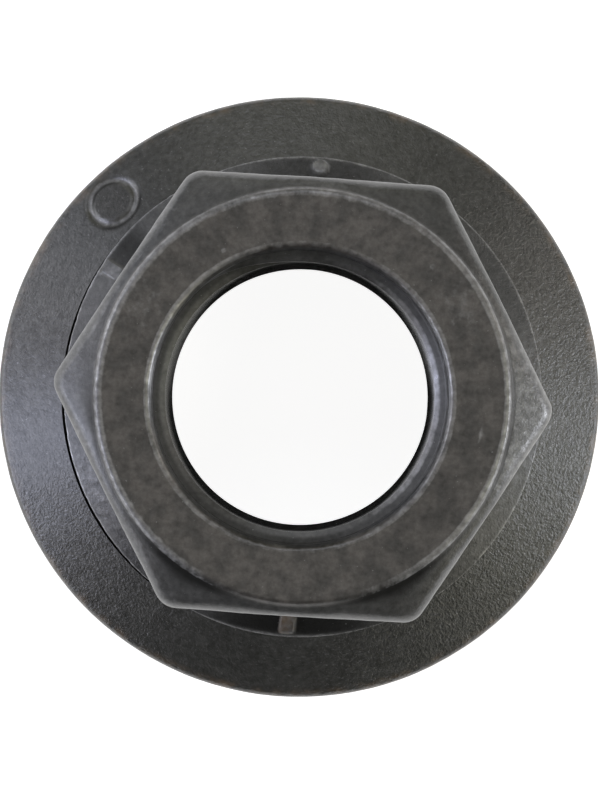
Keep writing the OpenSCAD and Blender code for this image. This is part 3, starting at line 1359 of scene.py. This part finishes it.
    def build(self) -> bpy.types.Object:
        """Makes the nut's mesh.

        Returns:
            The nut's object.
        """
        s = self.sizes
        shell = Shell()
        sweep = self.outside().sweep()
        points, marks = self.outside_points(sweep)
        outer = shell.add(points, self.outside_wear_and_light(sweep, marks / s.mark_h))
        shell.skin(outer, closed=False)
        top = s.overall_h - self.top_rim
        middle = top - self.fine_depth
        even = np.arange(self.fine_samples) / self.fine_samples
        upper = self.add_thread(shell, middle, top, even)
        lower = self.add_thread(shell, s.lead_in_z, middle, np.array(self.thread_samples))
        shell.join_half(upper[-1], outer[0])
        shell.join_half(lower[0], outer[-1])
        return shell.to_object("forged_nut", self.crease)


@dataclass
class PressureWasher:
    """The captive washer: rough sloping top, recess, conical seat and lower countersink.

    Sizes are in millimetres and angles in radians from +X, unless a field's own class says otherwise.

    Attributes:
        sizes: Sizes shared with the nut.
        columns: Columns round the axis.
        crowd_width: Half-width of the place at the ring where columns stand closer together.
        ring_crowd: How many more columns that place gets.
        crease: Edges that turn by more than this many degrees stay sharp.
        off_angle: Direction in which the outside stands off the axis.
        rim_off: How far the outside stands off the axis.
        edge_round: Radius of the outer edges.
        lip_in: How far the recess's edge is pressed in towards the flange.
        skin: Layers of the surface's unevenness, each with its size and its weight.
        worn: Sides on which the grain is worn down.
        ring_angle: Where the raised ring stands.
        ring_r: Outer radius of that ring.
        ring_w: Width of its line.
        ring_h: Height of its line.
        ring_rub: Rub of its line.
        ring_top: Half-width of the line's level top.
        ring_foot: Distance from the line's middle to where its slopes end.
        field_from: Where the field inside the ring starts, from the line's middle and negative inwards.
        field_full: Where the field has nothing of the line any more.
        field_grain: How much less the grain is worn down in the field.
        field_dirt: Share of dirt in the field.
        shaded_feet: Feet of the line that carry painted shadow: each one's distance from the line's middle,
            negative inwards, and the half of the ring that it goes along, 1 for the one nearer to the
            washer's rim.
        foot_shade: Share of painted shadow at those feet.
        foot_width: Half-width of that shadow.
        half_from: Where such a half starts, as a share of the line's radius.
        half_full: Where its painted shadow is full.
    """

    sizes: Sizes
    columns: int = 900
    crowd_width: float = math.radians(6)
    ring_crowd: float = 1.6
    crease: float = 50.0
    off_angle: float = math.radians(10)
    rim_off: float = -0.2
    edge_round: float = 0.7
    lip_in: float = 0.2
    skin: Layers = ((4.0, 0.8), (0.8, 0.5))
    worn: tuple[Side, ...] = (Side(154, 90, 0.58), Side(184, 25, 0.78), Side(256, 27, 0.28))
    ring_angle: float = math.radians(137.6)
    ring_r: float = 2.15
    ring_w: float = 0.45
    ring_h: float = 0.15
    ring_rub: float = 0.62
    ring_top: float = 0.04
    ring_foot: float = 0.46
    field_from: float = -0.3
    field_full: float = -0.6
    field_grain: float = 0.6
    field_dirt: float = 0.3
    shaded_feet: tuple[tuple[float, int], ...] = ((-0.36, 1), (0.38, -1))
    foot_shade: float = 0.75
    foot_width: float = 0.18
    half_from: float = 0.1
    half_full: float = 0.8

    def __post_init__(self) -> None:
        """Places the columns, closer together at the raised ring."""
        ring = Crowd(self.ring_angle, self.crowd_width, self.ring_crowd)
        self.angles = crowded_columns(self.columns, [ring])

    def section(self) -> Section:
        """The washer's closed section.

        Returns:
            The section, from the lower face round the outside to the bore.
        """
        s = self.sizes
        lip_r = s.recess_r - self.lip_in
        corners = [
            Corner(s.washer_bore_r + s.washer_countersink, 0, fillet=0.15, arc=2, run=5),
            Corner(s.washer_r, 0, fillet=self.edge_round, drift=self.rim_off, wear={Wear.RUST: 1.0}),
            Corner(
                s.washer_r, s.washer_top_z(s.washer_r), fillet=self.edge_round, arc=6, run=44,
                spacing=Spacing.EVEN, drift=self.rim_off, lump=0.02,
                wear={Wear.RUST: 0.6, Wear.RUB: 0.15},
            ),
            Corner(lip_r, s.recess_z, run=3, lump=0.004),
            Corner(s.recess_r, s.seat_z(s.recess_r), fillet=0.3, arc=3, run=5),
            Corner(s.washer_bore_r, s.seat_z(s.washer_bore_r), fillet=0.3, arc=3, run=2),
            Corner(s.washer_bore_r, s.washer_countersink, fillet=0.3, arc=3),
        ]
        return Section(corners, self.columns, closed=True)

    def ring_shares(self, sweep: Sweep) -> tuple[np.ndarray, np.ndarray, np.ndarray]:
        """Where the raised ring on the sloping top is.

        Args:
            sweep: The washer's rows.

        Returns:
            Shares of the ring's line, of the field inside it and of the painted shadow at the line's feet.
        """
        s = self.sizes
        on_top = np.abs(sweep.z - s.washer_top_z(sweep.r)) < ON_FACE
        middle = (s.recess_r + s.washer_r) / 2
        across = sweep.r * angle_apart(self.angles, self.ring_angle)
        along = (sweep.r - middle) / math.cos(s.slope)
        line = self.ring_r - self.ring_w / 2
        from_line = np.hypot(across, along) - line
        on_line = 1 - smooth_step(self.ring_top, self.ring_foot, np.abs(from_line))
        in_field = smooth_step(self.field_from, self.field_full, from_line)
        in_foot_shade = np.zeros_like(from_line)
        # Painted shadow beside the raised line: inside it on the half nearer the washer's rim, outside it on
        # the half nearer the nut
        for away, half in self.shaded_feet:
            near = np.exp(-(((from_line - away) / self.foot_width) ** 2))
            in_foot_shade += near * smooth_step(self.half_from, self.half_full, half * along / line)
        return on_top * on_line, on_top * in_field, on_top * in_foot_shade

    def build(self) -> bpy.types.Object:
        """Makes the washer's mesh.

        Returns:
            The washer's object.
        """
        sweep = self.section().sweep()
        points = sweep.placed(self.angles, self.off_angle)
        rough = layered_lumps(points.reshape(-1, 3), self.skin).reshape(sweep.r.shape)
        on_line, in_field, in_foot_shade = self.ring_shares(sweep)
        heights = sweep.lump[:, None] * rough + self.ring_h * on_line
        points = points + grid_normals(points, True) * heights[:, :, None]
        wear = sweep.wide_wear()
        wear[Wear.RUB] = np.maximum(wear[Wear.RUB], self.ring_rub * on_line)
        worn = np.max([side.share(self.angles) for side in self.worn], axis=0)
        wear[Wear.SMOOTH] = np.maximum(worn * (1 - self.field_grain * in_field), on_line)
        # Dirt in the ring's field, and painted shadow beside the raised line
        wear[Wear.GRIME] = np.maximum(self.field_dirt * in_field, self.foot_shade * in_foot_shade)
        shell = Shell()
        numbers = shell.add(points, wear)
        shell.skin(numbers, closed=True)
        return shell.to_object("pressure_washer", self.crease)


class Graph:
    """A material's node tree, with short calls for the nodes that the finishes use."""

    NOISE_ROUGHNESS = 0.6
    # The mix node's sockets for colours, which come after those for values and vectors
    MIX_A = 6
    MIX_B = 7
    MIX_RESULT = 2

    def __init__(self, name: str) -> None:
        """Makes an empty node material.

        Args:
            name: The material's name.
        """
        self.material = bpy.data.materials.new(name)
        self.material.use_nodes = True
        self.tree = self.material.node_tree
        self.tree.nodes.clear()
        self.place = self.node("ShaderNodeTexCoord").outputs["Object"]

    def node(self, kind: str, **settings: object) -> bpy.types.Node:
        """Adds a node.

        Args:
            kind: The node's type.
            settings: Its properties by name.

        Returns:
            The new node.
        """
        made = self.tree.nodes.new(kind)
        for name, value in settings.items():
            setattr(made, name, value)
        return made

    def feed(self, socket: bpy.types.NodeSocket, value: object) -> None:
        """Links a socket to an output, or sets it to a plain value."""
        if isinstance(value, bpy.types.NodeSocket):
            self.tree.links.new(value, socket)
        else:
            socket.default_value = value

    def spots(self, size: float, detail: float) -> bpy.types.NodeSocket:
        """Noise from 0 to 1 over the piece.

        Args:
            size: Size of its spots in millimetres.
            detail: How many finer layers it has.

        Returns:
            The noise's value.
        """
        made = self.node("ShaderNodeTexNoise")
        self.feed(made.inputs["Vector"], self.place)
        made.inputs["Scale"].default_value = 1 / (size * MM)
        made.inputs["Detail"].default_value = detail
        made.inputs["Roughness"].default_value = self.NOISE_ROUGHNESS
        return made.outputs["Fac"]

    def wear(self, kind: Wear) -> bpy.types.NodeSocket:
        """Value of one kind of wear at each place."""
        return self.node("ShaderNodeAttribute", attribute_name=kind.value).outputs["Fac"]

    def sum(self, operation: str, a: object, b: object) -> bpy.types.NodeSocket:
        """Combines two values with a Math node's operation."""
        made = self.node("ShaderNodeMath", operation=operation)
        self.feed(made.inputs[0], a)
        self.feed(made.inputs[1], b)
        return made.outputs[0]

    def step(self, value: object, low: float, high: float, top: float = 1.0) -> bpy.types.NodeSocket:
        """Smooth step of a value.

        Args:
            value: The value.
            low: Where the step starts.
            high: Where it ends.
            top: Its height.

        Returns:
            From 0 to the top.
        """
        made = self.node("ShaderNodeMapRange", interpolation_type="SMOOTHSTEP")
        self.feed(made.inputs["Value"], value)
        made.inputs["From Min"].default_value = low
        made.inputs["From Max"].default_value = high
        made.inputs["To Max"].default_value = top
        return made.outputs["Result"]

    def span(self, value: object, low: float, high: float) -> bpy.types.NodeSocket:
        """Stretches a value of 0 to 1 to low to high."""
        made = self.node("ShaderNodeMapRange")
        self.feed(made.inputs["Value"], value)
        made.inputs["To Min"].default_value = low
        made.inputs["To Max"].default_value = high
        return made.outputs["Result"]

    def tint(self, share: object, a: object, b: object) -> bpy.types.NodeSocket:
        """Mixes two colours by a share."""
        made = self.node("ShaderNodeMix", data_type="RGBA")
        self.feed(made.inputs["Factor"], share)
        self.feed(made.inputs[self.MIX_A], a)
        self.feed(made.inputs[self.MIX_B], b)
        return made.outputs[self.MIX_RESULT]

    def scaled(self, colour: object, share: object) -> bpy.types.NodeSocket:
        """Multiplies a colour by a value."""
        made = self.node("ShaderNodeVectorMath", operation="SCALE")
        self.feed(made.inputs[0], colour)
        self.feed(made.inputs["Scale"], share)
        return made.outputs["Vector"]

    def dents(self, heights: list[tuple[bpy.types.NodeSocket, float]]) -> bpy.types.NodeSocket:
        """Bump from several layers of noise.

        Args:
            heights: Each layer with its depth in millimetres.

        Returns:
            The bent normal.
        """
        normal = None
        for height, depth in heights:
            made = self.node("ShaderNodeBump")
            made.inputs["Distance"].default_value = depth * MM
            self.feed(made.inputs["Height"], height)
            if normal is not None:
                self.feed(made.inputs["Normal"], normal)
            normal = made.outputs["Normal"]
        return normal

    def output(self, shader: bpy.types.NodeSocket) -> bpy.types.Material:
        """Links a shader to the surface and hands over the material."""
        self.feed(self.node("ShaderNodeOutputMaterial").inputs["Surface"], shader)
        return self.material


@dataclass(frozen=True)
class CoatFinish:
    """A dull phosphate coat over forged steel, mottled, and rubbed brighter on its edges; its dark tint and
    its bare metal also carry painted shade and painted highlights.

    Sizes are in millimetres. A pair of numbers goes from one end of a range to the other.

    Attributes:
        name: The material's name.
        dark: Colour of its darker patches.
        pale: Colour of its paler patches.
        crown_dark: Darker patches of the nut's top face.
        crown_pale: Paler patches of the nut's top face.
        roughness: Roughness of the coat.
        grain_depth: Depth of the surface's grain.
        speck_start: Noise value above which a bright speck shows.
        bare_and_sheen_colour: Colour where it is rubbed, and of its painted highlights.
        rust: Colour of the browned rim.
        grime: Colour of oily dirt, and of painted shade in corners, grooves, the bore and shaded sides.
        gloss: Strength of the coat's reflections.
        dirt_and_shade_gloss: Strength of the reflections of that dirt and painted shade.
        dirt_and_shade_rough: How much rougher that dirt and painted shade are.
        bare_metal: How metallic the rubbed places and painted highlights are.
        bare_polish: How much less rough they are.
        patch_size: Size of the patches.
        patch_edge: Noise values between which dark turns to pale.
        fleck_size: Size of the flecks in the patches.
        fleck_shade: Range of the flecks' brightness.
        fleck_gloss: Range of the flecks' reflections.
        fleck_rough: How far the flecks' roughness goes up and down.
        rust_size: Size of the rusty patches.
        rust_edge: Noise values between which rust sets in.
        chip_size: Size of the chips that break up a rubbed edge.
        chip_depth: How strongly they do.
        rub_edge: Values of rub and painted highlight between which bare metal shows.
        speck_size: Size of the bright specks.
        speck_edge: Width of a speck's soft edge, in noise values.
        speck_rub: How far a speck is rubbed.
        grain_size: Size of the surface's grain.
        grit_size: Size of its coarser grit.
        grit_share: Depth of the grit, as a share of the grain's.
    """

    name: str
    dark: Colour
    pale: Colour
    crown_dark: Colour
    crown_pale: Colour
    roughness: float
    grain_depth: float
    speck_start: float
    bare_and_sheen_colour: Colour = (0.36, 0.36, 0.365, 1)
    rust: Colour = (0.13, 0.095, 0.065, 1)
    # Near-black colour of dirt and of painted shade
    grime: Colour = (0.008, 0.008, 0.0075, 1)
    gloss: float = 0.9
    dirt_and_shade_gloss: float = 0.05
    dirt_and_shade_rough: float = 0.5
    bare_metal: float = 0.9
    bare_polish: float = 0.1
    patch_size: float = 1.7
    patch_edge: tuple[float, float] = (0.34, 0.68)
    fleck_size: float = 0.45
    fleck_shade: tuple[float, float] = (0.6, 1.4)
    fleck_gloss: tuple[float, float] = (0.45, 1.55)
    fleck_rough: float = 0.08
    rust_size: float = 1.4
    rust_edge: tuple[float, float] = (0.4, 0.7)
    chip_size: float = 0.6
    chip_depth: float = 0.7
    rub_edge: tuple[float, float] = (0.35, 1.05)
    speck_size: float = 0.22
    speck_edge: float = 0.06
    speck_rub: float = 0.32
    grain_size: float = 0.2
    grit_size: float = 0.48
    grit_share: float = 0.6

    def material(self) -> bpy.types.Material:
        """Builds the finish.

        Returns:
            The node material.
        """
        g = Graph(self.name)
        # Dark tint that stands for dirt and for painted shade
        grime = g.wear(Wear.GRIME)
        flecks = g.spots(self.fleck_size, detail=3)
        bare_and_sheen = self.bare_and_sheen(g)
        shader = g.node("ShaderNodeBsdfPrincipled")
        g.feed(shader.inputs["Base Color"], self.colour(g, flecks, grime, bare_and_sheen))
        g.feed(shader.inputs["Metallic"], g.sum("MULTIPLY", bare_and_sheen, self.bare_metal))
        shine = g.span(grime, self.gloss, self.dirt_and_shade_gloss)
        shine = g.sum("MULTIPLY", shine, g.span(flecks, *self.fleck_gloss))
        g.feed(shader.inputs["Specular IOR Level"], shine)
        rough = g.span(flecks, self.roughness - self.fleck_rough, self.roughness + self.fleck_rough)
        rough = g.sum("SUBTRACT", rough, g.sum("MULTIPLY", bare_and_sheen, self.bare_polish))
        rough = g.sum("ADD", rough, g.sum("MULTIPLY", grime, self.dirt_and_shade_rough))
        g.feed(shader.inputs["Roughness"], rough)
        rugged = g.span(g.wear(Wear.SMOOTH), 1, 0)
        grain = g.spots(self.grain_size, detail=2)
        grit = g.spots(self.grit_size, detail=1)
        layers = [
            (g.sum("MULTIPLY", grain, rugged), self.grain_depth),
            (g.sum("MULTIPLY", grit, rugged), self.grit_share * self.grain_depth),
        ]
        g.feed(shader.inputs["Normal"], g.dents(layers))
        return g.output(shader.outputs["BSDF"])

    def bare_and_sheen(self, g: Graph) -> bpy.types.NodeSocket:
        """Where bare metal shows: rubbed edges with their chips, painted highlights, and bright specks.

        Args:
            g: The material's node tree.

        Returns:
            From 0 for the coat to 1 for bare metal and painted highlight.
        """
        chips = g.sum("SUBTRACT", g.spots(self.chip_size, detail=2), NOISE_MIDDLE)
        broken = g.sum("MULTIPLY", chips, self.chip_depth)
        # Rubbed edges, with the painted highlights carried in the same attribute, show as bare metal
        bare_and_sheen = g.step(g.sum("ADD", g.wear(Wear.RUB), broken), *self.rub_edge)
        speck_full = self.speck_start + self.speck_edge
        specks = g.step(g.spots(self.speck_size, detail=1), self.speck_start, speck_full, self.speck_rub)
        return g.sum("MAXIMUM", bare_and_sheen, specks)

    def colour(
        self,
        g: Graph,
        flecks: bpy.types.NodeSocket,
        grime: bpy.types.NodeSocket,
        bare_and_sheen: bpy.types.NodeSocket,
    ) -> bpy.types.NodeSocket:
        """Colour of the coat with its flecks, dirt, painted shade, rust, bare metal and painted highlights.

        Args:
            g: The material's node tree.
            flecks: Noise of the flecks.
            grime: Share of dirt and of painted shade.
            bare_and_sheen: Share of bare metal and painted highlight.

        Returns:
            The colour.
        """
        patches = g.step(g.spots(self.patch_size, detail=5), *self.patch_edge)
        coat = g.tint(patches, self.dark, self.pale)
        crown = g.tint(patches, self.crown_dark, self.crown_pale)
        colour = g.tint(g.wear(Wear.CROWN), coat, crown)
        colour = g.scaled(colour, g.span(flecks, *self.fleck_shade))
        # Painted shade and dirt: darken towards a near-black colour
        colour = g.tint(grime, colour, self.grime)
        browned = g.step(g.spots(self.rust_size, detail=3), *self.rust_edge)
        colour = g.tint(g.sum("MULTIPLY", g.wear(Wear.RUST), browned), colour, self.rust)
        # Bare metal, also used for painted highlights
        return g.tint(bare_and_sheen, colour, self.bare_and_sheen_colour)


@dataclass(frozen=True)
class FloorFinish:
    """A white floor that reads as white to the camera and still takes the shadow.

    Attributes:
        name: The material's name.
        paint: Colour of the floor.
        glow: Its own light, seen directly or in a reflection.
    """

    name: str = "white_floor"
    paint: Colour = (0.8, 0.8, 0.8, 1)
    glow: float = 0.88

    def material(self) -> bpy.types.Material:
        """Builds the finish.

        Returns:
            The node material.
        """
        g = Graph(self.name)
        diffuse = g.node("ShaderNodeBsdfDiffuse")
        diffuse.inputs["Color"].default_value = self.paint
        path = g.node("ShaderNodeLightPath").outputs
        seen = g.sum("MAXIMUM", path["Is Camera Ray"], path["Is Glossy Ray"])
        seen = g.sum("MAXIMUM", seen, path["Is Transmission Ray"])
        light = g.node("ShaderNodeEmission")
        g.feed(light.inputs["Strength"], g.sum("MULTIPLY", seen, self.glow))
        both = g.node("ShaderNodeAddShader")
        g.feed(both.inputs[0], diffuse.outputs[0])
        g.feed(both.inputs[1], light.outputs[0])
        return g.output(both.outputs[0])


@dataclass(frozen=True)
class Lamp:
    """A flat soft light.

    Attributes:
        name: The light's name.
        azimuth: Direction it stands in, in degrees clockwise from the picture's top.
        elevation: Its height over the floor, in degrees.
        power: Its power in watts.
        colour: Its colour.
        width: Its width in metres.
        height: Its height in metres.
        distance: Its distance from the object in metres.
    """

    name: str
    azimuth: float
    elevation: float
    power: float
    colour: tuple[float, float, float] = (1, 1, 1)
    width: float = 0.3
    height: float = 0.3
    distance: float = 0.6


@dataclass
class Studio:
    """Floor, lights and camera.

    Attributes:
        camera_height: Height of the camera over the floor, in millimetres.
        pixels_per_mm: Scale of the picture at floor level.
        picture: Width and height of the picture in pixels.
        middle: Where the thread's axis lies in the picture, in pixels.
        roll: How far the hexagon is turned clockwise in the picture, in degrees.
        sensor: Width of the camera's sensor, in millimetres.
        nearest: Distance from which the camera sees things, in metres.
        floor_side: Side of the floor, in metres.
        floor_drop: How far the floor lies under the washer, in millimetres.
        air: Colour of the light from all round.
        world_light: Strength of that light.
        lamps: The soft lights.
    """

    camera_height: float = 375.0
    pixels_per_mm: float = 12.375
    picture: tuple[int, int] = (598, 797)
    middle: tuple[float, float] = (301.6, 396.8)
    roll: float = 3.7
    sensor: float = 36.0
    nearest: float = 0.01
    floor_side: float = 6.0
    floor_drop: float = 0.02
    air: Colour = (0.95, 0.97, 1.0, 1)
    world_light: float = 0.002
    lamps: tuple[Lamp, ...] = (
        Lamp("window_left", 260, 24, 1.0, (0.71, 0.77, 1.0), width=0.25),
        Lamp("wall_left", 264, 24, 0.3, (1.0, 0.84, 0.79), width=0.8),
        Lamp("wall_low_left", 264, 12, 1.26, (0.97, 0.98, 1.0), width=0.8, height=0.2),
        Lamp("wall_upper_left", 300, 24, 0.41, (0.85, 0.89, 1.0), width=0.25),
        Lamp("window_low_right", 100, 9, 1.25, (0.9, 0.93, 1.0), width=0.2, height=0.16),
        Lamp("window_high_right", 100, 50, 0.41, (0.98, 1.0, 0.8), width=0.2, height=0.2),
        Lamp("window_upper_right", 69, 24, 0.38, (1.0, 0.92, 0.83), width=0.2, height=0.2),
        Lamp("window_lower_right", 125, 24, 0.31, (1.0, 0.94, 0.74), width=0.2, height=0.2),
        Lamp("wall_top", 0, 25, 0.26, (1.0, 0.97, 0.7), width=0.6),
        Lamp("window_top", 355, 50, 0.56, (0.8, 0.83, 0.93)),
        Lamp("ceiling", 0, 85, 1.42, (1.0, 0.97, 0.9), width=0.9, height=0.9),
    )

    def add_floor(self) -> None:
        """Lays the floor just under the washer."""
        half = self.floor_side / 2
        low = -self.floor_drop * MM
        mesh = bpy.data.meshes.new("floor")
        corners = [(-half, -half, low), (half, -half, low), (half, half, low), (-half, half, low)]
        mesh.from_pydata(corners, [], [(0, 1, 2, 3)])
        mesh.materials.append(FloorFinish().material())
        floor = bpy.data.objects.new("floor", mesh)
        bpy.context.scene.collection.objects.link(floor)

    def add_lamp(self, lamp: Lamp) -> None:
        """Hangs one light, aimed at the nut."""
        light = bpy.data.lights.new(lamp.name, "AREA")
        light.energy = lamp.power
        light.color = lamp.colour
        light.shape = "RECTANGLE"
        light.size = lamp.width
        light.size_y = lamp.height
        around = math.radians(90 - lamp.azimuth + self.roll)
        up = math.radians(lamp.elevation)
        place = lamp.distance * Vector(
            (math.cos(around) * math.cos(up), math.sin(around) * math.cos(up), math.sin(up))
        )
        made = bpy.data.objects.new(lamp.name, light)
        made.location = place
        made.rotation_euler = place.to_track_quat("Z", "Y").to_euler()
        bpy.context.scene.collection.objects.link(made)

    def add_world(self) -> None:
        """Sets a dim, even light from all round."""
        world = bpy.data.worlds.new("studio_air")
        world.use_nodes = True
        background = world.node_tree.nodes["Background"]
        background.inputs["Color"].default_value = self.air
        background.inputs["Strength"].default_value = self.world_light
        bpy.context.scene.world = world

    def add_camera(self) -> None:
        """Sets the camera over the nut, looking straight down the thread."""
        data = bpy.data.cameras.new("camera")
        focal_pixels = self.pixels_per_mm * self.camera_height
        long_side = max(self.picture)
        data.sensor_width = self.sensor
        data.lens = focal_pixels * self.sensor / long_side
        data.clip_start = self.nearest
        data.shift_x = (self.picture[0] / 2 - self.middle[0]) / long_side
        data.shift_y = (self.middle[1] - self.picture[1] / 2) / long_side
        camera = bpy.data.objects.new("camera", data)
        camera.location = (0, 0, self.camera_height * MM)
        camera.rotation_euler = (0, 0, math.radians(self.roll))
        bpy.context.scene.collection.objects.link(camera)
        bpy.context.scene.camera = camera

    def build(self) -> None:
        """Sets up the whole studio."""
        bpy.context.scene.view_settings.view_transform = "Standard"
        self.add_camera()
        self.add_floor()
        self.add_world()
        for lamp in self.lamps:
            self.add_lamp(lamp)


NUT_FINISH = CoatFinish(
    name="phosphate_coat",
    dark=(0.031, 0.031, 0.031, 1),
    pale=(0.052, 0.052, 0.052, 1),
    crown_dark=(0.021, 0.019, 0.0178, 1),
    crown_pale=(0.069, 0.062, 0.057, 1),
    roughness=0.38,
    grain_depth=0.066,
    speck_start=0.74,
)

WASHER_FINISH = CoatFinish(
    name="rough_phosphate_coat",
    dark=(0.028, 0.028, 0.026, 1),
    pale=(0.040, 0.040, 0.038, 1),
    crown_dark=(0.028, 0.028, 0.026, 1),
    crown_pale=(0.040, 0.040, 0.038, 1),
    roughness=0.34,
    grain_depth=0.069,
    speck_start=0.70,
)


def dress(piece: bpy.types.Object, finish: CoatFinish, node: str) -> None:
    """Gives a piece its finish and its place in the frame.

    Args:
        piece: The piece's object.
        finish: Its finish.
        node: The solid that it stands for, which is also its body.
    """
    piece.data.materials.append(finish.material())
    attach(piece, node)
    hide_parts(node)
    LOG.info("%s: %d faces for %s", piece.name, len(piece.data.polygons), node)


def main() -> None:
    """Builds the dressed wheel nut in its studio."""
    logging.basicConfig(level=logging.INFO, format="%(name)s: %(message)s")
    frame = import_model()
    sizes = Sizes.from_frame(frame)
    Studio().build()
    dress(WheelNut(sizes).build(), NUT_FINISH, "nut")
    dress(PressureWasher(sizes).build(), WASHER_FINISH, "washer")


if __name__ == "__main__":
    main()
